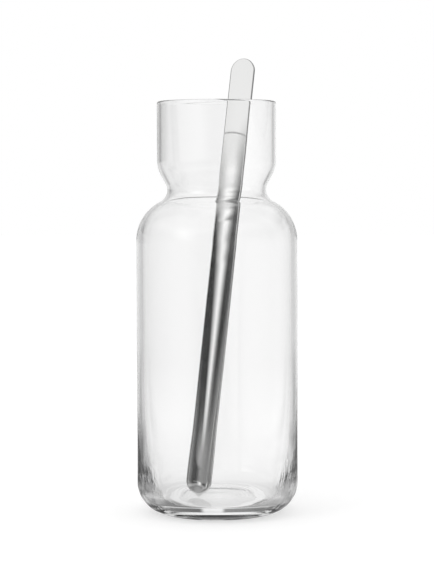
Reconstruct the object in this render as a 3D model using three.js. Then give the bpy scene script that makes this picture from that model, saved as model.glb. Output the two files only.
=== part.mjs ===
import * as THREE from 'three';

// A carafe of clear glass with a loose stirrer of pressed steel standing in it.
// Millimetres, +Z up. The origin is under the middle of the base.

const degree = Math.PI / 180;

// Carafe, outside, from the base up
const bodyRadius = 50;
const heelRounding = 19;
const puntRadius = 25;
const puntDepth = 1.2;
const bodyTop = 169;
const shoulderRounding = 27.3;
const neckRadius = 30.6;
const neckRounding = 8;
const flareAngle = 28 * degree;
const collarRadius = 36.8;
const collarRounding = 20;
const collarStraight = 35.9;

// Carafe, wall and floor
const neckWall = 2.4;
const bodyWall = 4;
const innerShoulderRounding = 24;
const floorThickness = 7;
const floorSlope = 2 * degree;
const innerHeelRounding = 11.5;
const heelThickening = 4.6;
const heelFade = 20;

// Stirrer: a strip that stays flat at the tab and curls up evenly below it
const stirrerLength = 278.8;
const stripWidth = 16;
const stripThickness = 1.5;
const tabLength = 30;
const tipCurl = 49 * degree;
const scoopStripWidth = 17.4;
const scoopSwellStart = 48;
const scoopSwellEnd = 14;
const edgeRounding = 0.35;

// How the stirrer stands: its tip on the floor and its back against the far side of the rim,
// tilted a little to the right in its own plane
const restDirection = 26.5 * degree;
const restLean = 9.6 * degree;
const restTilt = 2.25 * degree;
const restClearance = 0.3;

// How finely the round forms are divided
const carafeSides = 60;
const puntSteps = 3;
const heelSteps = 9;
const innerHeelSteps = 8;
const shoulderSteps = 8;
const neckSteps = 8;
const collarSteps = 4;
const lipSteps = 6;
const wallSteps = 8;
const floorSteps = 4;
const endSteps = 6;
const middleSteps = 30;
const stirrerColumns = 10;
const edgeShares = [0.25, 0.75];
const settlingSteps = 8;
const flatCurl = 0.001;

// Points of a circular arc, from one angle to another, both ends included
function arc(centreX, centreY, radius, fromAngle, toAngle, steps) {
  const points = [];
  for (let i = 0; i <= steps; i += 1) {
    const angle = THREE.MathUtils.lerp(fromAngle, toAngle, i / steps);
    points.push(new THREE.Vector2(
      centreX + radius * Math.cos(angle),
      centreY + radius * Math.sin(angle),
    ));
  }
  return points;
}

// The neck is one arc about this centre, outside the glass; the inside of the glass shares it.
const neckCentreRadius = neckRadius + neckRounding;
const shoulderCentreRadius = bodyRadius - shoulderRounding;
const neckHeight = bodyTop + Math.sqrt(
  (shoulderRounding + neckRounding) ** 2 - (neckCentreRadius - shoulderCentreRadius) ** 2,
);

// The flare above the neck is a short straight stretch between the neck's arc and the collar's.
const collarCentreRadius = collarRadius - collarRounding;
const flareReach = neckRounding + collarRounding;
const flareStep = neckCentreRadius - collarCentreRadius;
const flare = Math.min(flareAngle, Math.acos(flareStep / flareReach));
const flareRun = flareReach * Math.cos(flare) - flareStep;
const collarHeight = neckHeight + flareReach * Math.sin(flare) + flareRun / Math.tan(flare);
const rimHeight = collarHeight + collarStraight;

const lipRadius = neckWall / 2;
const lipCentreRadius = collarRadius - lipRadius;
const lipCentreHeight = rimHeight - lipRadius;

// Inside, the floor rises gently to a ring, turns up in the heel and thins to the body's wall.
const innerBodyRadius = bodyRadius - bodyWall;
const heelTaper = Math.atan(heelThickening / heelFade);
const innerHeelRadius = innerBodyRadius - heelThickening;
const floorRadius = innerHeelRadius - innerHeelRounding * (Math.cos(heelTaper) - Math.sin(floorSlope));
const floorCurve = floorRadius / Math.sin(floorSlope);
const floorRingHeight = floorHeightAt(floorRadius);
const innerHeelCentreHeight = floorRingHeight + innerHeelRounding * Math.cos(floorSlope);
const innerHeelHeight = innerHeelCentreHeight - innerHeelRounding * Math.sin(heelTaper);
const innerNeckRounding = neckRounding + neckWall;
const innerShoulderCentreRadius = innerBodyRadius - innerShoulderRounding;
const innerBodyTop = neckHeight - Math.sqrt(
  (innerShoulderRounding + innerNeckRounding) ** 2
  - (neckCentreRadius - innerShoulderCentreRadius) ** 2,
);

function floorHeightAt(radius) {
  return floorThickness + floorCurve - Math.sqrt(floorCurve ** 2 - radius ** 2);
}

function innerWallRadiusAt(height) {
  return innerBodyRadius - heelThickening * Math.exp((innerHeelHeight - height) / heelFade);
}

// Angle at which the shoulder's arc meets the neck's arc, measured from level
function shoulderAngle(shoulderRadius, shoulderBase) {
  return Math.atan2(neckHeight - shoulderBase, neckCentreRadius - shoulderRadius);
}

function carafeProfile() {
  const outer = shoulderAngle(shoulderCentreRadius, bodyTop);
  const inner = shoulderAngle(innerShoulderCentreRadius, innerBodyTop);
  const puntCurve = (puntRadius ** 2 + puntDepth ** 2) / (2 * puntDepth);
  const puntAngle = Math.asin(puntRadius / puntCurve);
  const heelStart = bodyRadius - heelRounding;
  const innerCollarRounding = collarRounding - neckWall;
  const heelTurn = Math.PI / 2;

  const wall = [];
  const wallSpan = innerBodyTop - innerHeelHeight;
  for (let i = 1; i < wallSteps; i += 1) {
    const height = innerBodyTop - wallSpan * Math.sin((i / wallSteps) * (Math.PI / 2));
    wall.push(new THREE.Vector2(innerWallRadiusAt(height), height));
  }

  return [
    ...arc(0, puntDepth - puntCurve, puntCurve, Math.PI / 2, Math.PI / 2 - puntAngle, puntSteps),
    ...arc(heelStart, heelRounding, heelRounding, -heelTurn, 0, heelSteps),
    ...arc(shoulderCentreRadius, bodyTop, shoulderRounding, 0, outer, shoulderSteps),
    ...arc(neckCentreRadius, neckHeight, neckRounding,
      Math.PI + outer, Math.PI - flare, neckSteps).slice(1),
    ...arc(collarCentreRadius, collarHeight, collarRounding, -flare, 0, collarSteps),
    ...arc(lipCentreRadius, lipCentreHeight, lipRadius, 0, Math.PI, lipSteps),
    ...arc(collarCentreRadius, collarHeight, innerCollarRounding, 0, -flare, collarSteps),
    ...arc(neckCentreRadius, neckHeight, innerNeckRounding,
      Math.PI - flare, Math.PI + inner, neckSteps),
    ...arc(innerShoulderCentreRadius, innerBodyTop, innerShoulderRounding,
      inner, 0, shoulderSteps).slice(1),
    ...wall,
    ...arc(floorRadius - innerHeelRounding * Math.sin(floorSlope), innerHeelCentreHeight,
      innerHeelRounding, -heelTaper, floorSlope - Math.PI / 2, innerHeelSteps),
    ...arc(0, floorThickness + floorCurve, floorCurve,
      floorSlope - Math.PI / 2, -Math.PI / 2, floorSteps).slice(1),
  ];
}

function makeCarafe() {
  const profile = carafeProfile();
  profile[0].x = 0;
  profile[profile.length - 1].x = 0;
  const geometry = new THREE.LatheGeometry(profile, carafeSides);
  geometry.rotateX(Math.PI / 2);
  const glass = new THREE.MeshStandardMaterial({
    color: 0xf4f7f6,
    roughness: 0.02,
    metalness: 0,
    transparent: true,
    opacity: 0.35,
  });
  const mesh = new THREE.Mesh(geometry, glass);
  mesh.name = 'carafe_glass';
  return mesh;
}

// Half the angle that the strip's section bends through, at a distance from the tip
const curlStart = stirrerLength - tabLength;
function curlAt(distance) {
  return Math.max(0, tipCurl * (1 - distance / curlStart));
}

// Width of the metal round the section: it swells where the scoop is pressed
function widthAt(distance) {
  const swell = THREE.MathUtils.smoothstep(-distance, -scoopSwellStart, -scoopSwellEnd);
  return THREE.MathUtils.lerp(stripWidth, scoopStripWidth, swell);
}

// The closed end is part of a ball whose radius is that of the trough where the two meet.
const scoopCurl = curlAt(scoopSwellEnd);
const scoopRadius = scoopStripWidth / (2 * scoopCurl);
const scoopReach = scoopRadius * Math.sin(scoopCurl);
const scoopCentre = new THREE.Vector3(0, -scoopRadius * Math.cos(scoopCurl), scoopReach);

// A point of the front face and the direction through the metal behind it. The strip's length
// runs along +Z from the tip, its front looks along -Y and the edges of the trough lie in y = 0.
function frontPoint(distance, across) {
  const tabCentre = stirrerLength - stripWidth / 2;
  if (distance < scoopReach) {
    const back = scoopReach - distance;
    const sectionRadius = Math.sqrt(scoopRadius ** 2 - back ** 2);
    const halfChord = Math.sqrt(Math.max(0, scoopReach ** 2 - back ** 2));
    const angle = across * Math.asin(halfChord / sectionRadius);
    const point = new THREE.Vector3(
      sectionRadius * Math.sin(angle),
      scoopCentre.y + sectionRadius * Math.cos(angle),
      distance,
    );
    return { point, inward: point.clone().sub(scoopCentre).normalize() };
  }
  const curl = Math.min(curlAt(distance), scoopCurl);
  if (curl > flatCurl) {
    const radius = widthAt(distance) / (2 * curl);
    const inward = new THREE.Vector3(Math.sin(across * curl), Math.cos(across * curl), 0);
    const point = inward.clone().multiplyScalar(radius);
    point.y -= radius * Math.cos(curl);
    point.z = distance;
    return { point, inward };
  }
  const past = Math.max(0, distance - tabCentre);
  const halfWidth = Math.sqrt(Math.max(0, (stripWidth / 2) ** 2 - past ** 2));
  return {
    point: new THREE.Vector3(across * halfWidth, 0, distance),
    inward: new THREE.Vector3(0, 1, 0),
  };
}

// Distances from the tip at which the strip has a row of points, closer together round both ends
function rowDistances() {
  const tabRadius = stripWidth / 2;
  const tabCentre = stirrerLength - tabRadius;
  const rows = [];
  for (let i = 0; i < endSteps; i += 1) {
    rows.push(scoopReach * (1 - Math.cos((i / endSteps) * (Math.PI / 2))));
  }
  for (let i = 0; i < middleSteps; i += 1) {
    rows.push(THREE.MathUtils.lerp(scoopReach, tabCentre, i / middleSteps));
  }
  for (let i = 0; i <= endSteps; i += 1) {
    rows.push(tabCentre + tabRadius * Math.sin((i / endSteps) * (Math.PI / 2)));
  }
  return rows;
}

function makeStirrer() {
  const rows = rowDistances();
  const columns = stirrerColumns;
  const last = rows.length - 1;
  const positions = [];
  const triangles = [];

  function addPoint(point) {
    positions.push(point.x, point.y, point.z);
    return positions.length / 3 - 1;
  }

  function addQuad(a, b, c, d) {
    if (a !== b) triangles.push(a, b, c);
    if (c !== d) triangles.push(a, c, d);
  }

  // Both faces; a row at either end is a single point
  const front = [];
  const back = [];
  const rim = [];
  rows.forEach((distance, row) => {
    const single = row === 0 || row === last;
    front.push([]);
    back.push([]);
    for (let column = 0; column <= columns; column += 1) {
      if (single && column > 0) {
        front[row].push(front[row][0]);
        back[row].push(back[row][0]);
        continue;
      }
      const across = single ? 0 : (2 * column) / columns - 1;
      const { point, inward } = frontPoint(distance, across);
      front[row].push(addPoint(point));
      back[row].push(addPoint(point.clone().addScaledVector(inward, stripThickness)));
    }
  });
  for (let row = 0; row < last; row += 1) {
    for (let column = 0; column < columns; column += 1) {
      addQuad(front[row][column], front[row][column + 1],
        front[row + 1][column + 1], front[row + 1][column]);
      addQuad(back[row][column + 1], back[row][column],
        back[row + 1][column], back[row + 1][column + 1]);
    }
  }

  // The edge goes up the right side, over the tab's end and down the left side to the tip
  for (let row = 0; row < last; row += 1) rim.push([row, columns]);
  for (let row = last; row > 0; row -= 1) rim.push([row, 0]);
  const at = (index, face) => {
    const [row, column] = rim[(index + rim.length) % rim.length];
    return new THREE.Vector3().fromArray(positions, 3 * face[row][column]);
  };
  const loops = rim.map(([row, column], index) => {
    const frontEdge = at(index, front);
    const backEdge = at(index, back);
    const along = at(index + 1, front).sub(at(index - 1, front));
    const outward = along.cross(backEdge.clone().sub(frontEdge)).normalize().negate();
    const rounded = edgeShares.map((share) => addPoint(
      frontEdge.clone().lerp(backEdge, share).addScaledVector(outward, edgeRounding),
    ));
    return [front[row][column], ...rounded, back[row][column]];
  });
  loops.forEach((loop, index) => {
    const next = loops[(index + 1) % loops.length];
    for (let step = 0; step < 3; step += 1) {
      addQuad(loop[step], loop[step + 1], next[step + 1], next[step]);
    }
  });

  const geometry = new THREE.BufferGeometry();
  geometry.setAttribute('position', new THREE.Float32BufferAttribute(positions, 3));
  geometry.setIndex(triangles);
  geometry.computeVertexNormals();
  const steel = new THREE.MeshStandardMaterial({ color: 0xcfcfcd, roughness: 0.12, metalness: 1 });
  const mesh = new THREE.Mesh(geometry, steel);
  mesh.name = 'stirrer';
  return mesh;
}

// The strip is turned so that its face looks away from the point of the rim that it leans on. The
// tab's back edges meet the rounded lip, so the lip's distance from the axis is taken there.
function standStirrer(stirrer) {
  const halfTouch = (stripWidth / 2 + edgeRounding) / Math.cos(restTilt);
  const lipReach = Math.sqrt(lipCentreRadius ** 2 - halfTouch ** 2);
  const lipToFront = lipRadius + restClearance + stripThickness;
  const lipAlongBack = lipReach * Math.cos(restLean) - lipCentreHeight * Math.sin(restLean);
  const frontOffset = lipAlongBack - lipToFront;

  stirrer.rotation.set(-restLean, restTilt, 0);
  stirrer.updateMatrix();
  const turned = stirrer.geometry.clone().applyMatrix4(stirrer.matrix);
  turned.computeBoundingBox();
  const lowest = turned.boundingBox.min.z;

  // Slide the strip down in its own plane until its lowest point clears the dished floor
  const tip = new THREE.Vector3(0, 0, floorThickness);
  for (let i = 0; i < settlingSteps; i += 1) {
    tip.x = -((lipCentreHeight - tip.z) / Math.cos(restLean)) * Math.tan(restTilt);
    tip.y = (frontOffset + tip.z * Math.sin(restLean)) / Math.cos(restLean);
    tip.z = floorHeightAt(Math.hypot(tip.x, tip.y)) + restClearance - lowest;
  }

  stirrer.position.copy(tip);
  const lean = new THREE.Group();
  lean.add(stirrer);
  lean.rotation.z = -restDirection;
  return lean;
}

const group = new THREE.Group();
group.add(makeCarafe());
group.add(standStirrer(makeStirrer()));

export default group;
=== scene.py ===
import bpy
import bmesh
import math
from mathutils import Matrix, Vector


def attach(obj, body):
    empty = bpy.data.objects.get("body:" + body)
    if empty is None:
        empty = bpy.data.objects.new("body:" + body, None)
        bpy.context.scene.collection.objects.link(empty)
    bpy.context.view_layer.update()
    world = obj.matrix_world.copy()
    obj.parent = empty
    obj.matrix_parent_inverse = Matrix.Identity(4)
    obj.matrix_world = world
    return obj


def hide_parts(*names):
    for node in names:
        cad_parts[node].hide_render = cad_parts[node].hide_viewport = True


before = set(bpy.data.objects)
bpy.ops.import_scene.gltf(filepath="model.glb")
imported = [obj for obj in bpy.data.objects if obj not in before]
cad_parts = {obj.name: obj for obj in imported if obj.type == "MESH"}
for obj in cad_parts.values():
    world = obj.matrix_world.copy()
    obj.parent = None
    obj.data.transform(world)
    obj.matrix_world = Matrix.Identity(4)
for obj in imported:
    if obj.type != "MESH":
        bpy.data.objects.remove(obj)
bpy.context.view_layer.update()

mm = 0.001
white = (1, 1, 1, 1)
mirroredOnce = 0.5   # a ray's glossy depth is 0 before it is mirrored and 1 or more after


# small helpers for objects and node trees

def addObject(name, data):
    made = bpy.data.objects.new(name, data)
    bpy.context.collection.objects.link(made)
    return made


def newMaterial(name):
    made = bpy.data.materials.new(name)
    made.use_nodes = True
    tree = made.node_tree
    tree.nodes.clear()
    output = addNode(tree, "ShaderNodeOutputMaterial")
    return made, tree, output


def addNode(tree, kind, **settings):
    node = tree.nodes.new(kind)
    for name, value in settings.items():
        setattr(node, name, value)
    return node


def plug(tree, value, socket):
    # a socket takes a link, a plain value is written into it
    if isinstance(value, bpy.types.NodeSocket):
        tree.links.new(value, socket)
    elif value is not None:
        socket.default_value = value


def calc(tree, operation, first, second=None, third=None):
    node = addNode(tree, "ShaderNodeMath", operation=operation)
    for socket, value in zip(node.inputs, (first, second, third)):
        plug(tree, value, socket)
    return node.outputs[0]


def split(tree, vector):
    parts = addNode(tree, "ShaderNodeSeparateXYZ")
    plug(tree, vector, parts.inputs[0])
    return parts.outputs


def blend(tree, share, first, second):
    node = addNode(tree, "ShaderNodeMix", data_type="RGBA")
    plug(tree, share, node.inputs["Factor"])
    plug(tree, first, node.inputs["A"])
    plug(tree, second, node.inputs["B"])
    return node.outputs["Result"]


def between(tree, value, start, end, kind="SMOOTHSTEP"):
    # goes from 0 to 1 as the value passes from start to end, which may be the lower of the two
    node = addNode(tree, "ShaderNodeMapRange", interpolation_type=kind)
    plug(tree, value, node.inputs["Value"])
    node.inputs["From Min"].default_value = start
    node.inputs["From Max"].default_value = end
    return node.outputs[0]


def ramp(tree, value, stops):
    # stops are (position, grey) pairs
    node = addNode(tree, "ShaderNodeValToRGB")
    band = node.color_ramp
    while len(band.elements) > 1:
        band.elements.remove(band.elements[-1])
    for index, (position, grey) in enumerate(stops):
        stop = band.elements[0] if index == 0 else band.elements.new(position)
        stop.position = position
        stop.color = (grey, grey, grey, 1)
    plug(tree, value, node.inputs["Fac"])
    return node.outputs["Color"]


def objectPlace(tree):
    return addNode(tree, "ShaderNodeTexCoord").outputs["Object"]


def pattern(tree, look, turn=(0, 0, 0)):
    # noise that is drawn out along a piece and turned with it
    drawnOut = addNode(tree, "ShaderNodeMapping")
    plug(tree, objectPlace(tree), drawnOut.inputs["Vector"])
    drawnOut.inputs["Rotation"].default_value = turn
    drawnOut.inputs["Scale"].default_value = (1, 1, look["along"])
    node = addNode(tree, "ShaderNodeTexNoise")
    plug(tree, drawnOut.outputs["Vector"], node.inputs["Vector"])
    node.inputs["Scale"].default_value = look["scale"]
    node.inputs["Detail"].default_value = look["detail"]
    return node.outputs["Fac"]


def bump(tree, height, distance, normal=None):
    node = addNode(tree, "ShaderNodeBump")
    node.inputs["Distance"].default_value = distance
    plug(tree, height, node.inputs["Height"])
    plug(tree, normal, node.inputs["Normal"])
    return node.outputs["Normal"]


# camera, at the photograph's angle: a little under the rim, looking down on the base

cameraPlace = dict(
    distance=1149 * mm,
    height=205 * mm,
    pitch=math.radians(3.3),
    roll=math.radians(-0.2),
    lens=115.2,
    sensor=36,
)


def makeCamera():
    data = bpy.data.cameras.new("camera")
    data.lens = cameraPlace["lens"]
    data.sensor_width = cameraPlace["sensor"]
    cam = addObject("camera", data)
    place = Vector((0, -cameraPlace["distance"], cameraPlace["height"]))
    turn = Matrix.Rotation(math.radians(90) - cameraPlace["pitch"], 4, "X")
    roll = Matrix.Rotation(cameraPlace["roll"], 4, "Z")
    cam.matrix_world = Matrix.Translation(place) @ turn @ roll
    bpy.context.scene.camera = cam
    print("camera placed")


# studio: what the glass and the steel show of the room, as rings of grey round the carafe, each
# at its own height (the sine of its angle above level). Azimuths are in degrees: 0 is behind the
# carafe, 90 to its right, 180 behind the camera. A softbox stands at the front left.

studio = dict(
    rings=[
        (0.03, [(-180, 0.07), (-165, 0.3), (-150, 0.5), (-120, 0.36), (-90, 0.28), (-45, 0.31),
                (-30, 0.46), (-15, 0.82), (0, 1.03), (15, 1.0), (30, 0.56), (60, 0.82), (105, 0.84),
                (135, 0.76), (150, 0.55), (165, 0.15), (180, 0.07)]),
        (0.16, [(-180, 0.02), (-152, 0.02), (-144, 0.8), (-133, 1.3), (-119, 0.3), (-104, 0.02),
                (-90, 0.04), (-60, 0.34), (-30, 0.61), (-15, 0.79), (0, 1.03), (15, 0.9),
                (30, 0.58), (60, 0.7), (100, 0.42), (135, 0.53), (165, 0.2), (180, 0.02)]),
        (0.245, [(-180, 0.02), (-154, 0.02), (-145, 0.4), (-131, 1.4), (-123, 1.4), (-115, 0.65),
                 (-107, 0.06), (-90, 0.12), (-45, 0.53), (0, 0.8), (45, 0.68), (100, 0.48),
                 (150, 0.36), (180, 0.02)]),
        (0.29, [(-180, 0.1), (-154, 0.2), (-145, 0.6), (-132, 1.1), (-125, 1.08), (-119, 0.7),
                (-109, 0.15), (-90, 0.15), (-45, 0.55), (0, 0.75), (30, 0.7), (44, 0.12),
                (66, 0.12), (80, 0.5), (150, 0.4), (180, 0.1)]),
        (0.4, [(-180, 0.3), (-150, 0.6), (-132, 1.06), (-122, 1.0), (-108, 0.5), (-60, 0.6),
               (0, 0.75), (30, 0.7), (44, 0.15), (66, 0.15), (80, 0.6), (150, 0.5), (180, 0.3)]),
        (0.58, [(-180, 0.5), (-150, 0.25), (-90, 0.25), (-60, 0.6), (0, 0.8), (150, 0.8),
                (180, 0.5)]),
        (0.75, [(-180, 0.2), (-130, 0.4), (0, 0.5), (90, 0.5), (180, 0.2)]),
    ],
    light=1.0,
    backdrop=(0.96, 0.96, 0.96, 1),
    flagsEnd=math.radians(62),
    backdropStart=math.radians(85),
)


def azimuthOf(tree, parts):
    return calc(tree, "ARCTAN2", parts["X"], parts["Y"])


def ringed(tree, parts, value, rings):
    # grey that goes from each ring's stops to the next ring's as the value passes from one to the other
    around = calc(tree, "MULTIPLY_ADD", azimuthOf(tree, parts), 0.5 / math.pi, 0.5)   # 0 to 1
    grey, lower = None, None
    for upper, stops in rings:
        ring = ramp(tree, around, [((azimuth + 180) / 360, tone) for azimuth, tone in stops])
        grey = blend(tree, between(tree, value, lower, upper, "LINEAR"), grey, ring) if grey else ring
        lower = upper
    return grey


def paleBeyond(tree, parts, path, grey):
    # what shows straight through the glass, without being mirrored on the way, is the pale backdrop,
    # except where the flags behind the carafe draw the edges of the glass
    aside = calc(tree, "ABSOLUTE", azimuthOf(tree, parts))
    sideways = between(tree, aside, studio["flagsEnd"], studio["backdropStart"])
    straight = calc(tree, "LESS_THAN", path["Glossy Depth"], mirroredOnce)
    return blend(tree, calc(tree, "MULTIPLY", sideways, straight), grey, studio["backdrop"])


def byRay(tree, path, direct, shown):
    # the camera and the diffuse light get one shader, the glass and the steel show the other
    shiny = calc(tree, "MAXIMUM", path["Is Glossy Ray"], path["Is Transmission Ray"])
    mix = addNode(tree, "ShaderNodeMixShader")
    plug(tree, shiny, mix.inputs[0])
    plug(tree, direct, mix.inputs[1])
    plug(tree, shown, mix.inputs[2])
    return mix.outputs[0]


def makeWorld():
    world = bpy.data.worlds.new("studio")
    bpy.context.scene.world = world
    world.use_nodes = True
    tree = world.node_tree
    tree.nodes.clear()
    path = addNode(tree, "ShaderNodeLightPath").outputs
    parts = split(tree, addNode(tree, "ShaderNodeTexCoord").outputs["Generated"])
    room = ringed(tree, parts, parts["Z"], studio["rings"])
    shown = addNode(tree, "ShaderNodeBackground")
    plug(tree, paleBeyond(tree, parts, path, room), shown.inputs["Color"])
    plain = addNode(tree, "ShaderNodeBackground")
    plain.inputs["Strength"].default_value = studio["light"]
    plain.inputs["Color"].default_value = white
    output = addNode(tree, "ShaderNodeOutputWorld")
    plug(tree, byRay(tree, path, plain.outputs[0], shown.outputs[0]), output.inputs["Surface"])
    print("world made")


softBox = dict(
    size=(0.5, 0.7),
    place=(-0.95, -0.75, 0.75),
    aim=(0, 0, 0.12),
    power=3.0,
)


def makeSoftBox():
    data = bpy.data.lights.new("softBox", "AREA")
    data.shape = "RECTANGLE"
    data.size, data.size_y = softBox["size"]
    data.energy = softBox["power"]
    lamp = addObject("softBox", data)
    lamp.location = softBox["place"]
    lamp.visible_glossy = False
    lamp.visible_transmission = False
    lamp.rotation_euler = (Vector(softBox["aim"]) - lamp.location).to_track_quat("-Z", "Y").to_euler()
    print("softbox made")


# floor: a round sheet of pale paper. Its rings are what the glass and the steel show of it, each at
# its own distance from the carafe's axis. They are painted light and shade: painted shade that darkens
# towards the front, and under the base a painted shadow with painted gathered light in front of it.

floorSheet = dict(
    radius=6.0,
    segments=96,
    paper=dict(scale=220, along=1, detail=2, stops=[(0.3, 0.49), (0.7, 0.5)]),
    lift=0.56,
    shadeStart=0.08,   # from here to shadeEnd the shade gives way to the backdrop
    shadeEnd=0.16,
    # painted shade and painted light, set by distance from the carafe's axis and by azimuth
    rings=[
        (0.029, [(-180, 0.8), (-120, 0.72), (0, 0.85), (120, 0.76), (180, 0.8)]),
        (0.0305, [(-180, 0.7), (-166, 0.7), (-161, 0.16), (-125, 0.16), (-105, 0.6), (-75, 0.7),
                  (0, 0.9), (75, 0.8), (105, 0.7), (115, 0.14), (128, 0.1), (145, 0.2),
                  (172, 0.26), (176, 0.7), (180, 0.7)]),
        (0.036, [(-180, 0.95), (-166, 0.95), (-161, 0.14), (-125, 0.14), (-100, 0.5), (-75, 0.7),
                 (0, 0.9), (75, 0.8), (100, 0.5), (112, 0.14), (128, 0.1), (145, 0.2),
                 (172, 0.26), (176, 0.95), (180, 0.95)]),
        (0.038, [(-180, 0.9), (-150, 0.7), (-100, 0.9), (0, 0.9), (100, 0.7), (150, 0.7),
                 (180, 0.9)]),
        (0.0395, [(-180, 0.5), (-150, 0.14), (-105, 0.2), (-75, 0.7), (0, 0.9), (75, 0.7),
                  (105, 0.3), (150, 0.3), (180, 0.5)]),
        (0.045, [(-180, 0.5), (-150, 0.3), (-122, 0.2), (-112, 0.4), (-104, 0.42), (-96, 0.17),
                 (-84, 0.2), (-74, 0.7), (0, 0.95), (70, 0.8), (84, 0.4), (98, 0.45), (115, 0.42),
                 (150, 0.6), (180, 0.5)]),
        (0.052, [(-180, 0.7), (-150, 0.45), (-112, 0.62), (-92, 0.66), (-84, 0.5), (-72, 0.7),
                 (-45, 0.9), (0, 1.0), (45, 0.9), (66, 0.75), (73, 0.3), (84, 0.42), (96, 0.7),
                 (112, 0.68), (180, 0.7)]),
        (0.072, [(-180, 0.7), (-150, 0.45), (-100, 0.45), (-84, 0.5), (-76, 0.72), (-68, 0.82),
                 (-45, 0.92), (0, 1.0), (45, 0.95), (64, 0.85), (74, 0.5), (84, 0.42), (96, 0.55),
                 (135, 0.5), (180, 0.7)]),
        (0.086, [(-180, 0.7), (-150, 0.45), (-100, 0.4), (-84, 0.5), (-76, 0.68), (-66, 0.76),
                 (-56, 0.88), (-45, 0.94), (0, 1.02), (45, 0.95), (75, 0.75), (105, 0.6),
                 (135, 0.5), (180, 0.7)]),
        (0.1, [(-180, 0.7), (-150, 0.45), (-105, 0.5), (-70, 0.6), (-55, 0.8), (-42, 0.92),
               (0, 1.03), (45, 0.95), (75, 0.75), (105, 0.6), (135, 0.5), (180, 0.7)]),
        (0.2, [(-180, 0.04), (-158, 0.04), (-135, 0.35), (-105, 0.3), (-80, 0.3), (-60, 0.65),
               (-40, 0.8), (-25, 1.02), (0, 1.03), (25, 1.0), (40, 0.75), (75, 0.93),
               (105, 1.05), (135, 0.88), (160, 0.2), (180, 0.04)]),
        (0.34, [(-180, 0.04), (-158, 0.04), (-135, 0.35), (-105, 0.3), (-80, 0.3), (-60, 0.6),
                (-32, 0.8), (-15, 1.05), (0, 1.03), (15, 1.05), (30, 0.78), (45, 0.76),
                (75, 0.93), (105, 1.05), (135, 0.88), (160, 0.2), (180, 0.04)]),
        (0.9, [(-180, 0.04), (-158, 0.04), (-135, 0.35), (-105, 0.3), (-80, 0.3), (-60, 0.6),
               (-32, 0.62), (-15, 0.93), (0, 1.02), (15, 0.97), (30, 0.6), (45, 0.76),
               (75, 0.93), (105, 1.0), (135, 0.85), (160, 0.2), (180, 0.04)]),
    ],
    # painted shade: how much of that is left where a ray is mirrored inside the wall first, as along
    # the glass's edges
    mirrored=[
        (0.06, [(-180, 1.0)]),
        (0.07, [(-180, 1.0), (-94, 0.8), (-82, 0.5), (-72, 0.28), (-50, 0.28), (-40, 1.0),
                (40, 1.0), (50, 0.5), (74, 0.7), (84, 1.0)]),
        (0.085, [(-180, 1.0), (-82, 0.55), (-66, 0.22), (-50, 0.3), (-40, 1.0),
                 (44, 1.0), (53, 0.4), (67, 0.9), (180, 1.0)]),
        (0.11, [(-180, 1.0), (-66, 0.9), (-56, 0.6), (-46, 0.22), (-30, 0.22), (-22, 1.0),
                (40, 1.0), (47, 0.9), (64, 0.8), (74, 1.0)]),
        (0.2, [(-60, 1.0), (-51, 0.6), (-44, 0.24), (-30, 0.3), (-22, 1.0),
               (22, 1.0), (30, 0.45), (44, 0.4), (52, 0.6), (62, 1.0)]),
        (0.34, [(-50, 1.0), (-42, 0.8), (-34, 0.3), (-28, 0.3), (-22, 1.0),
                (22, 1.0), (30, 0.4), (36, 0.45), (41, 0.8), (50, 1.0)]),
        (0.5, [(-40, 1.0), (-33, 0.5), (-29, 0.4), (-22, 1.0),
               (22, 1.0), (29, 0.4), (36, 0.6), (41, 1.0)]),
        (1.2, [(-180, 1.0)]),
    ],
)


def directPaper(tree, path):
    paper = addNode(tree, "ShaderNodeBsdfDiffuse")
    look = floorSheet["paper"]
    plug(tree, ramp(tree, pattern(tree, look), look["stops"]), paper.inputs["Color"])
    lift = addNode(tree, "ShaderNodeEmission")   # keeps the sheet white where the camera sees it
    plug(tree, calc(tree, "MULTIPLY", path["Is Camera Ray"], floorSheet["lift"]), lift.inputs["Strength"])
    both = addNode(tree, "ShaderNodeAddShader")
    plug(tree, paper.outputs[0], both.inputs[0])
    plug(tree, lift.outputs[0], both.inputs[1])
    return both.outputs[0]


# paints the light and shade that the glass and the steel see on the sheet, as an emission
def paperPaintedLightAndShade(tree, path):
    place = objectPlace(tree)
    parts = split(tree, place)
    length = addNode(tree, "ShaderNodeVectorMath", operation="LENGTH")
    plug(tree, place, length.inputs[0])
    distance = length.outputs["Value"]
    mirrored = calc(tree, "GREATER_THAN", path["Glossy Depth"], mirroredOnce)
    # painted shade on the sheet for rays that were mirrored in the wall first
    paintedEdgeShade = blend(tree, mirrored, white, ringed(tree, parts, distance, floorSheet["mirrored"]))
    grey = calc(tree, "MULTIPLY", ringed(tree, parts, distance, floorSheet["rings"]), paintedEdgeShade)
    clear = between(tree, distance, floorSheet["shadeStart"], floorSheet["shadeEnd"])
    shown = addNode(tree, "ShaderNodeEmission")
    plug(tree, blend(tree, clear, grey, paleBeyond(tree, parts, path, grey)), shown.inputs["Color"])
    return shown.outputs[0]


def makeFloor():
    mesh = bpy.data.meshes.new("floor")
    shape = bmesh.new()
    bmesh.ops.create_circle(
        shape, cap_ends=True, segments=floorSheet["segments"], radius=floorSheet["radius"])
    shape.to_mesh(mesh)
    shape.free()
    sheet = addObject("floor", mesh)
    # the sheet's material: plain pale paper for the camera, painted light and shade for the glass and the
    # steel
    made, tree, output = newMaterial("paleSweepPaintedLightAndShade")
    path = addNode(tree, "ShaderNodeLightPath").outputs
    sweep = byRay(tree, path, directPaper(tree, path), paperPaintedLightAndShade(tree, path))
    plug(tree, sweep, output.inputs["Surface"])
    mesh.materials.append(made)
    print("floor made")


# carafe: one outline in the XZ plane, spun by geometry nodes. Sizes are the real ones, in metres.

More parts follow.
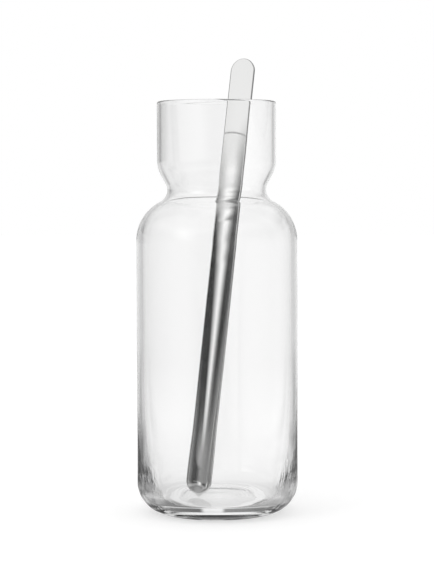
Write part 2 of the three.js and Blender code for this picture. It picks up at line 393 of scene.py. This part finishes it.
carafe = dict(
    bodyRadius=50 * mm,
    heelRounding=19 * mm,
    puntRadius=25 * mm,
    puntDepth=0.5 * mm,
    bodyTop=169 * mm,
    shoulderRounding=27.3 * mm,
    neckRadius=30.6 * mm,
    neckRounding=8 * mm,
    flare=math.radians(28),
    collarRadius=36.8 * mm,
    collarRounding=20 * mm,
    collarStraight=35.9 * mm,
    neckWall=2.4 * mm,
    bodyWall=4 * mm,
    innerShoulderRounding=24 * mm,
    floorThickness=7 * mm,
    floorSlope=math.radians(2),
    innerHeelRounding=11.5 * mm,
    heelThickening=4.6 * mm,
    heelFade=20 * mm,
    # faint rings that the mould leaves on the floor and in the heel
    ringHeight=0.035 * mm,
    ringSpacing=2.6 * mm,
    ringStart=14 * mm,
    ringFade=7.8 * mm,
    # how fine the mesh is
    pointSpacing=1.4 * mm,
    fewestSteps=4,
    segments=180,
    weldDistance=0.002 * mm,
    # the glass, with slow waves from the blowing and streaks where it chilled at the heel,
    # most of them by the mould's two seams
    refraction=1.52,
    waves=dict(scale=60, along=0.35, detail=1.5, height=0.05 * mm),
    streaks=dict(scale=300, along=0.5, detail=3, height=0.2 * mm),
    streakTop=46 * mm,
    streakBottom=18 * mm,
    streakInside=34 * mm,
    streakOutside=42 * mm,
    seamStart=0.55,
    seamEnd=0.85,
    depthColour=(0.5, 0.5, 0.5, 1),
    depthDensity=3,
)


def arcPoints(centreX, centreZ, radius, fromAngle, toAngle, spacing):
    steps = max(carafe["fewestSteps"], round(abs(toAngle - fromAngle) * radius / spacing))
    angles = [fromAngle + (toAngle - fromAngle) * i / steps for i in range(steps + 1)]
    return [(centreX + radius * math.cos(a), centreZ + radius * math.sin(a)) for a in angles]


def linePoints(start, end, spacing):
    # the points between two ends, without the ends
    steps = max(1, round(math.dist(start, end) / spacing))
    return [tuple(a + (b - a) * i / steps for a, b in zip(start, end)) for i in range(1, steps)]


def mouldRing(x):
    # height of the faint rings at a distance from the axis
    past = min(1.0, max(0.0, (x - carafe["ringStart"]) / carafe["ringFade"]))
    return carafe["ringHeight"] * past * math.sin(2 * math.pi * x / carafe["ringSpacing"])


def joined(stretches, gap):
    # one row of points, with straight lines where a stretch doesn't start at the end of the last one
    touching = gap / 20
    outline = list(stretches[0])
    for stretch in stretches[1:]:
        near = math.dist(outline[-1], stretch[0]) < touching
        if not near:
            outline += linePoints(outline[-1], stretch[0], gap)
        outline += stretch[1:] if near else stretch
    return outline


def carafeOutline():
    c = carafe
    gap = c["pointSpacing"]
    neckGap, insideGap, lipGap = gap / 2, gap / 3, gap / 8
    quarter = math.pi / 2
    neckX = c["neckRadius"] + c["neckRounding"]
    shoulderX = c["bodyRadius"] - c["shoulderRounding"]
    neckZ = c["bodyTop"] + math.sqrt(
        (c["shoulderRounding"] + c["neckRounding"]) ** 2 - (neckX - shoulderX) ** 2)
    collarX = c["collarRadius"] - c["collarRounding"]
    reach = c["neckRounding"] + c["collarRounding"]
    run = reach * math.cos(c["flare"]) - (neckX - collarX)
    collarZ = neckZ + reach * math.sin(c["flare"]) + run / math.tan(c["flare"])
    lip = c["neckWall"] / 2
    lipX = c["collarRadius"] - lip
    lipZ = collarZ + c["collarStraight"] - lip

    innerRadius = c["bodyRadius"] - c["bodyWall"]
    innerNeck = c["neckRounding"] + c["neckWall"]
    innerShoulderX = innerRadius - c["innerShoulderRounding"]
    innerTop = neckZ - math.sqrt(
        (c["innerShoulderRounding"] + innerNeck) ** 2 - (neckX - innerShoulderX) ** 2)
    taper = math.atan(c["heelThickening"] / c["heelFade"])
    slope = c["floorSlope"]
    floorRadius = (innerRadius - c["heelThickening"]
                   - c["innerHeelRounding"] * (math.cos(taper) - math.sin(slope)))
    floorCurve = floorRadius / math.sin(slope)
    ringZ = c["floorThickness"] + floorCurve * (1 - math.cos(slope))
    heelZ = ringZ + c["innerHeelRounding"] * math.cos(slope)
    wallZ = heelZ - c["innerHeelRounding"] * math.sin(taper)

    puntCurve = (c["puntRadius"] ** 2 + c["puntDepth"] ** 2) / (2 * c["puntDepth"])
    puntAngle = math.asin(c["puntRadius"] / puntCurve)
    outerTurn = math.atan2(neckZ - c["bodyTop"], neckX - shoulderX)
    innerTurn = math.atan2(neckZ - innerTop, neckX - innerShoulderX)

    stretches = [
        arcPoints(0, c["puntDepth"] - puntCurve, puntCurve, quarter, quarter - puntAngle, gap),
        arcPoints(c["bodyRadius"] - c["heelRounding"], c["heelRounding"], c["heelRounding"],
                  -quarter, 0, gap),
        arcPoints(shoulderX, c["bodyTop"], c["shoulderRounding"], 0, outerTurn, gap),
        arcPoints(neckX, neckZ, c["neckRounding"], math.pi + outerTurn, math.pi - c["flare"], neckGap),
        arcPoints(collarX, collarZ, c["collarRounding"], -c["flare"], 0, gap),
        arcPoints(lipX, lipZ, lip, 0, math.pi, lipGap),
        arcPoints(collarX, collarZ, c["collarRounding"] - c["neckWall"], 0, -c["flare"], gap),
        arcPoints(neckX, neckZ, innerNeck, math.pi - c["flare"], math.pi + innerTurn, neckGap),
        arcPoints(innerShoulderX, innerTop, c["innerShoulderRounding"], innerTurn, 0, gap),
    ]
    wall = []
    steps = round((innerTop - wallZ) / gap)
    for i in range(1, steps):
        z = innerTop + (wallZ - innerTop) * i / steps
        wall.append((innerRadius - c["heelThickening"] * math.exp((wallZ - z) / c["heelFade"]), z))
    stretches.append(wall)
    inside = arcPoints(floorRadius - c["innerHeelRounding"] * math.sin(slope), heelZ,
                       c["innerHeelRounding"], -taper, slope - quarter, insideGap)
    inside += arcPoints(0, c["floorThickness"] + floorCurve, floorCurve, slope - quarter, -quarter,
                        insideGap)[1:]
    stretches.append([(x, z + mouldRing(x)) for x, z in inside])

    outline = joined(stretches, gap)
    outline[0] = (0, outline[0][1])
    outline[-1] = (0, outline[-1][1])
    return outline


def spinTree():
    # spins a row of points in the XZ plane round Z: grid rows follow the outline, columns go round
    tree = bpy.data.node_groups.new("spinOutline", "GeometryNodeTree")
    tree.interface.new_socket("Outline", in_out="INPUT", socket_type="NodeSocketGeometry")
    tree.interface.new_socket("Segments", in_out="INPUT", socket_type="NodeSocketInt")
    tree.interface.new_socket("Finish", in_out="INPUT", socket_type="NodeSocketMaterial")
    tree.interface.new_socket("Spun", in_out="OUTPUT", socket_type="NodeSocketGeometry")
    given = addNode(tree, "NodeGroupInput").outputs
    columns = calc(tree, "ADD", given["Segments"], 1)
    count = addNode(tree, "GeometryNodeAttributeDomainSize")
    plug(tree, given["Outline"], count.inputs[0])
    grid = addNode(tree, "GeometryNodeMeshGrid")
    plug(tree, count.outputs["Point Count"], grid.inputs["Vertices X"])
    plug(tree, columns, grid.inputs["Vertices Y"])
    index = addNode(tree, "GeometryNodeInputIndex").outputs[0]
    column = calc(tree, "FLOORED_MODULO", index, columns)
    # with the half added, the division can't fall just short of a whole number
    row = calc(tree, "FLOOR", calc(tree, "DIVIDE", calc(tree, "ADD", index, 0.5), columns))
    sample = addNode(tree, "GeometryNodeSampleIndex", data_type="FLOAT_VECTOR")
    plug(tree, given["Outline"], sample.inputs["Geometry"])
    plug(tree, addNode(tree, "GeometryNodeInputPosition").outputs[0], sample.inputs["Value"])
    plug(tree, row, sample.inputs["Index"])
    profile = split(tree, sample.outputs[0])
    angle = calc(tree, "DIVIDE", calc(tree, "MULTIPLY", column, 2 * math.pi), given["Segments"])
    place = addNode(tree, "ShaderNodeCombineXYZ")
    plug(tree, calc(tree, "MULTIPLY", profile["X"], calc(tree, "COSINE", angle)), place.inputs["X"])
    plug(tree, calc(tree, "MULTIPLY", profile["X"], calc(tree, "SINE", angle)), place.inputs["Y"])
    plug(tree, profile["Z"], place.inputs["Z"])
    move = addNode(tree, "GeometryNodeSetPosition")
    plug(tree, grid.outputs["Mesh"], move.inputs["Geometry"])
    plug(tree, place.outputs[0], move.inputs["Position"])
    weld = addNode(tree, "GeometryNodeMergeByDistance")
    plug(tree, move.outputs[0], weld.inputs["Geometry"])
    weld.inputs["Distance"].default_value = carafe["weldDistance"]
    smooth = addNode(tree, "GeometryNodeSetShadeSmooth")
    plug(tree, weld.outputs[0], smooth.inputs["Geometry"])
    realize = addNode(tree, "GeometryNodeRealizeInstances")
    plug(tree, smooth.outputs[0], realize.inputs["Geometry"])
    paint = addNode(tree, "GeometryNodeSetMaterial")
    plug(tree, realize.outputs[0], paint.inputs["Geometry"])
    plug(tree, given["Finish"], paint.inputs["Material"])
    output = addNode(tree, "NodeGroupOutput")
    plug(tree, paint.outputs[0], output.inputs["Spun"])
    return tree


def chilledStreaks(tree):
    # height of the streaks: only low on the carafe, on its outside and near the seams
    parts = split(tree, objectPlace(tree))
    squares = [calc(tree, "POWER", parts[axis], 2) for axis in "XY"]
    away = calc(tree, "POWER", calc(tree, "ADD", *squares), 0.5)
    side = calc(tree, "DIVIDE", calc(tree, "ABSOLUTE", parts["X"]), away)
    low = between(tree, parts["Z"], carafe["streakTop"], carafe["streakBottom"])
    outside = between(tree, away, carafe["streakInside"], carafe["streakOutside"])
    seams = between(tree, side, carafe["seamStart"], carafe["seamEnd"])
    where = calc(tree, "MULTIPLY", calc(tree, "MULTIPLY", low, outside), seams)
    return calc(tree, "MULTIPLY", where, pattern(tree, carafe["streaks"]))


def makeClearGlass():
    made, tree, output = newMaterial("clearGlass")
    glass = addNode(tree, "ShaderNodeBsdfPrincipled")
    glass.inputs["Base Color"].default_value = white
    glass.inputs["Transmission Weight"].default_value = 1
    glass.inputs["Roughness"].default_value = 0
    glass.inputs["IOR"].default_value = carafe["refraction"]
    waved = bump(tree, pattern(tree, carafe["waves"]), carafe["waves"]["height"])
    streaked = bump(tree, chilledStreaks(tree), carafe["streaks"]["height"], waved)
    plug(tree, streaked, glass.inputs["Normal"])
    depth = addNode(tree, "ShaderNodeVolumeAbsorption")
    depth.inputs["Color"].default_value = carafe["depthColour"]
    depth.inputs["Density"].default_value = carafe["depthDensity"]
    plug(tree, glass.outputs[0], output.inputs["Surface"])
    plug(tree, depth.outputs[0], output.inputs["Volume"])
    return made


def pieceFromNodes(name, source):
    # turns the live modifier's result into a plain mesh
    shape = source.evaluated_get(bpy.context.evaluated_depsgraph_get())
    mesh = bpy.data.meshes.new_from_object(shape)
    mesh.name = name
    piece = addObject(name, mesh)
    bpy.data.objects.remove(source)
    return piece


def fixNormals(mesh):
    shape = bmesh.new()
    shape.from_mesh(mesh)
    bmesh.ops.recalc_face_normals(shape, faces=shape.faces)
    shape.to_mesh(mesh)
    shape.free()
    mesh.shade_smooth()


def makeCarafe():
    outline = carafeOutline()
    mesh = bpy.data.meshes.new("carafeOutline")
    mesh.from_pydata([(x, 0, z) for x, z in outline],
                     [(i, i + 1) for i in range(len(outline) - 1)], [])
    source = addObject("carafeOutline", mesh)
    tree = spinTree()
    spin = source.modifiers.new("spin", "NODES")
    spin.node_group = tree
    sockets = {item.name: item.identifier for item in tree.interface.items_tree if item.in_out == "INPUT"}
    spin[sockets["Segments"]] = carafe["segments"]
    spin[sockets["Finish"]] = makeClearGlass()
    piece = pieceFromNodes("carafeGlass", source)
    fixNormals(piece.data)
    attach(piece, "carafe")
    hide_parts("carafe_glass")
    print("carafe made,", len(piece.data.polygons), "faces")


# stirrer: a strip that is flat at the tab, curls up evenly below it and ends in a closed scoop

stirrer = dict(
    length=278.8 * mm,
    stripWidth=16 * mm,
    thickness=1.5 * mm,
    tabLength=30 * mm,
    tipCurl=math.radians(49),
    scoopStripWidth=17.4 * mm,
    swellStart=48 * mm,
    swellEnd=14 * mm,
    edgeRounding=0.35 * mm,
    direction=math.radians(26.5),
    lean=math.radians(9.6),
    tilt=math.radians(2.25),
    tip=(-9.771 * mm, -9.911 * mm, 8.651 * mm),   # before the turn about the carafe's axis
    # how fine the mesh is
    columns=40,
    middleRows=150,
    endRows=24,
    edgeSteps=6,
    flatCurl=0.001,
    # the steel, with grain and smears along the strip and the pressing's slow waves
    face=(0.78, 0.78, 0.775, 1),
    # the cut edges' dark colour is painted shade, partly a real duller cut edge
    cutEdgePaintedShade=(0.16, 0.16, 0.16, 1),
    cutStart=0.8,
    cutEnd=0.95,
    grain=dict(scale=1800, along=0.03, detail=2, height=0.002 * mm),
    smears=dict(scale=140, along=0.4, detail=3, stops=[(0.35, 0.04), (0.65, 0.08)]),
    pressing=dict(scale=45, along=0.5, detail=1, height=0.02 * mm),
)


def curlAt(distance):
    start = stirrer["length"] - stirrer["tabLength"]
    return max(0.0, stirrer["tipCurl"] * (1 - distance / start))


def widthAt(distance):
    share = (stirrer["swellStart"] - distance) / (stirrer["swellStart"] - stirrer["swellEnd"])
    share = min(1.0, max(0.0, share))
    swell = share * share * (3 - 2 * share)
    return stirrer["stripWidth"] + (stirrer["scoopStripWidth"] - stirrer["stripWidth"]) * swell


def scoopBall():
    # radius of the ball that the scoop is part of, its curl, and how far it reaches up the strip
    curl = curlAt(stirrer["swellEnd"])
    ball = stirrer["scoopStripWidth"] / (2 * curl)
    return ball, curl, ball * math.sin(curl)


def frontPoint(distance, across):
    # a point of the front face and the direction through the metal, in the strip's own frame
    ball, scoopCurl, reach = scoopBall()
    centre = Vector((0, -ball * math.cos(scoopCurl), reach))
    if distance < reach:
        back = reach - distance
        ring = math.sqrt(ball ** 2 - back ** 2)
        chord = math.sqrt(max(0.0, reach ** 2 - back ** 2))
        angle = across * math.asin(chord / ring)
        point = Vector((ring * math.sin(angle), centre.y + ring * math.cos(angle), distance))
        return point, (point - centre).normalized()
    curl = min(curlAt(distance), scoopCurl)
    if curl > stirrer["flatCurl"]:
        radius = widthAt(distance) / (2 * curl)
        inward = Vector((math.sin(across * curl), math.cos(across * curl), 0))
        point = inward * radius
        point.y -= radius * math.cos(curl)
        point.z = distance
        return point, inward
    half = stirrer["stripWidth"] / 2
    past = max(0.0, distance - (stirrer["length"] - half))
    return Vector((across * math.sqrt(max(0.0, half ** 2 - past ** 2)), 0, distance)), Vector((0, 1, 0))


def rowDistances():
    reach = scoopBall()[2]
    half = stirrer["stripWidth"] / 2
    tabCentre = stirrer["length"] - half
    ends, middle = stirrer["endRows"], stirrer["middleRows"]
    turn = [i / ends * math.pi / 2 for i in range(ends + 1)]
    rows = [reach * (1 - math.cos(a)) for a in turn[:-1]]
    rows += [reach + (tabCentre - reach) * i / middle for i in range(middle)]
    rows += [tabCentre + half * math.sin(a) for a in turn]
    return rows


def makeSteel():
    made, tree, output = newMaterial("polishedSteel")
    steel = addNode(tree, "ShaderNodeBsdfPrincipled")
    steel.inputs["Metallic"].default_value = 1
    # the cut edges of the strip, which face sideways, get a darker colour than its pressed faces: painted
    # shade along the edges, partly a real duller cut edge
    facing = addNode(tree, "ShaderNodeVectorMath", operation="DOT_PRODUCT")
    plug(tree, addNode(tree, "ShaderNodeNewGeometry").outputs["Normal"], facing.inputs[0])
    turn = stirrer["direction"]
    facing.inputs[1].default_value = (math.cos(turn), -math.sin(turn), 0)
    sideways = calc(tree, "ABSOLUTE", facing.outputs["Value"])
    cut = between(tree, sideways, stirrer["cutStart"], stirrer["cutEnd"])
    plug(tree, blend(tree, cut, stirrer["face"], stirrer["cutEdgePaintedShade"]), steel.inputs["Base Color"])
    alongStrip = (stirrer["lean"], 0, stirrer["direction"])
    smears = pattern(tree, stirrer["smears"], alongStrip)
    plug(tree, ramp(tree, smears, stirrer["smears"]["stops"]), steel.inputs["Roughness"])
    grain, pressing = stirrer["grain"], stirrer["pressing"]
    fine = bump(tree, pattern(tree, grain, alongStrip), grain["height"])
    pressed = bump(tree, pattern(tree, pressing, alongStrip), pressing["height"], fine)
    plug(tree, pressed, steel.inputs["Normal"])
    plug(tree, steel.outputs[0], output.inputs["Surface"])
    return made


def addFace(shape, *corners):
    # leaves out a corner that comes twice and a face without an area
    different = list(dict.fromkeys(corners))
    if len(different) > 2:
        shape.faces.new(different)


def addFaces(shape):
    # the pressed front and back faces, as rows of vertices
    columns = stirrer["columns"]
    rows = rowDistances()
    last = len(rows) - 1
    front, back = [], []
    for row, distance in enumerate(rows):
        single = row in (0, last)
        frontRow, backRow = [], []
        for column in range(columns + 1):
            if single and column:
                frontRow.append(frontRow[0])
                backRow.append(backRow[0])
                continue
            across = 0 if single else 2 * column / columns - 1
            point, inward = frontPoint(distance, across)
            frontRow.append(shape.verts.new(point))
            backRow.append(shape.verts.new(point + inward * stirrer["thickness"]))
        front.append(frontRow)
        back.append(backRow)
    for row in range(last):
        for column in range(columns):
            addFace(shape, front[row][column], front[row][column + 1],
                    front[row + 1][column + 1], front[row + 1][column])
            addFace(shape, back[row][column + 1], back[row][column],
                    back[row + 1][column], back[row + 1][column + 1])
    return front, back


def addRim(shape, front, back):
    # the rounded edge, all the way round between the two faces
    last = len(front) - 1
    steps = stirrer["edgeSteps"]
    rim = [(row, stirrer["columns"]) for row in range(last)] + [(row, 0) for row in range(last, 0, -1)]
    loops = []
    for index, (row, column) in enumerate(rim):
        frontEdge, backEdge = front[row][column].co, back[row][column].co
        nextRow, nextColumn = rim[(index + 1) % len(rim)]
        pastRow, pastColumn = rim[index - 1]
        along = front[nextRow][nextColumn].co - front[pastRow][pastColumn].co
        outward = -along.cross(backEdge - frontEdge).normalized()
        loop = [front[row][column]]
        for step in range(1, steps):
            angle = math.pi * step / steps
            share = (1 - math.cos(angle)) / 2
            rounding = outward * stirrer["edgeRounding"] * math.sin(angle)
            loop.append(shape.verts.new(frontEdge.lerp(backEdge, share) + rounding))
        loops.append(loop + [back[row][column]])
    for index, loop in enumerate(loops):
        following = loops[(index + 1) % len(loops)]
        for step in range(steps):
            addFace(shape, loop[step], loop[step + 1], following[step + 1], following[step])


def makeStirrer():
    shape = bmesh.new()
    front, back = addFaces(shape)
    addRim(shape, front, back)
    bmesh.ops.recalc_face_normals(shape, faces=shape.faces)
    placed = Matrix.Rotation(-stirrer["direction"], 4, "Z") @ Matrix.Translation(stirrer["tip"])
    leaning = Matrix.Rotation(-stirrer["lean"], 4, "X") @ Matrix.Rotation(stirrer["tilt"], 4, "Y")
    shape.transform(placed @ leaning)
    mesh = bpy.data.meshes.new("stirrerSteel")
    shape.to_mesh(mesh)
    shape.free()
    mesh.shade_smooth()
    mesh.materials.append(makeSteel())
    piece = addObject("stirrerSteel", mesh)
    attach(piece, "stirrer")
    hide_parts("stirrer")
    print("stirrer made,", len(mesh.polygons), "faces")


bpy.context.scene.view_settings.view_transform = "Standard"
makeCamera()
makeWorld()
makeSoftBox()
makeFloor()
makeCarafe()
makeStirrer()
